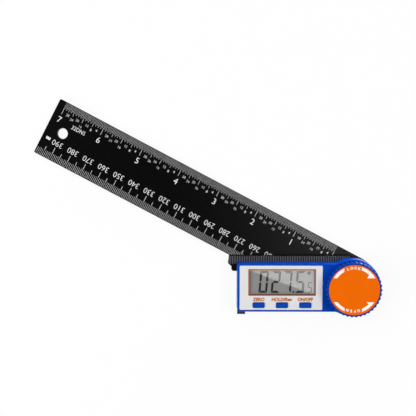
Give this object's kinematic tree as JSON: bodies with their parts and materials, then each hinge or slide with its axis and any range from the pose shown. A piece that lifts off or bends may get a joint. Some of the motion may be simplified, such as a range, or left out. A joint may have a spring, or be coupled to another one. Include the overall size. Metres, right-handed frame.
{
  "type": "digital angle gauge",
  "caption": "Folding digital angle gauge: a long scaled blade pivots under a short base with a display housing, push buttons and a ribbed lock knob.",
  "frame": {"origin": "pivot axis, on the plane of the blade's back that the gauge lies on", "axes": "+Z out of the display's face, -X along the base, the blade opens from -X towards +Y"},
  "size_m": [0.2014, 0.1259, 0.016],
  "materials": {
    "blade_black": "satin moulded plastic with white printed scales",
    "base_black": "satin moulded plastic with grey printed scale",
    "cover_black": "fine grained plastic",
    "housing_blue": "satin blue moulded plastic",
    "button_blue": "satin blue plastic",
    "knob_blue": "satin blue moulded plastic",
    "disc_orange": "smooth orange plastic",
    "panel_grey": "pale grey printed plate",
    "lens_clear": "clear polished",
    "lcd_grey": "grey-green display glass",
    "zebra_rubber": "striped contact rubber",
    "board_green": "solder mask",
    "chip_black": "cast resin",
    "cell_steel": "nickel plated",
    "contact_steel": "plated spring sheet",
    "screw_steel": "zinc plated",
    "axle_steel": "turned steel",
    "hub_brass": "turned brass",
    "washer_nylon": "natural nylon"
  },
  "bodies": {
    "base": {"base_plate": "base_black", "housing": "housing_blue", "face_panel": "panel_grey", "display_lens": "lens_clear", "lcd_glass": "lcd_grey", "zebra_strips": "zebra_rubber", "circuit_board": "board_green", "chip_cap": "chip_black", "battery": "cell_steel", "positive_contact": "contact_steel", "negative_contact": "contact_steel", "battery_cover": "cover_black", "cover_screw": "screw_steel", "housing_screws": "screw_steel", "board_screws": "screw_steel", "pivot_axle": "axle_steel", "friction_washer": "washer_nylon", "thrust_washer": "axle_steel", "zero_dome": "contact_steel", "hold_dome": "contact_steel", "power_dome": "contact_steel"},
    "blade_arm": {"long_blade": "blade_black", "blade_hub": "hub_brass", "rotor_disc": "board_green"},
    "knob": {"lock_knob": "knob_blue", "knob_insert": "hub_brass", "knob_disc": "disc_orange"},
    "zero_key": {"zero_button": "button_blue"},
    "hold_key": {"hold_button": "button_blue"},
    "power_key": {"power_button": "button_blue"}
  },
  "joints": [
    {"name": "blade_swing", "type": "hinge", "parent": "base", "child": "blade_arm", "pos_m": [0, 0, 0.00125], "axis": [0, 0, -1], "continuous": true},
    {"name": "knob_turn", "type": "hinge", "parent": "base", "child": "knob", "pos_m": [0, 0, 0.013], "axis": [0, 0, 1], "range_deg": [0, 180]},
    {"name": "zero_press", "type": "slide", "parent": "base", "child": "zero_key", "axis": [0, 0, -1], "range_m": [0, 0.0003], "stiffness_N_per_m": 3000, "deforming": ["zero_dome"]},
    {"name": "hold_press", "type": "slide", "parent": "base", "child": "hold_key", "axis": [0, 0, -1], "range_m": [0, 0.0003], "stiffness_N_per_m": 3000, "deforming": ["hold_dome"]},
    {"name": "power_press", "type": "slide", "parent": "base", "child": "power_key", "axis": [0, 0, -1], "range_m": [0, 0.0003], "stiffness_N_per_m": 3000, "deforming": ["power_dome"]}
  ]
}
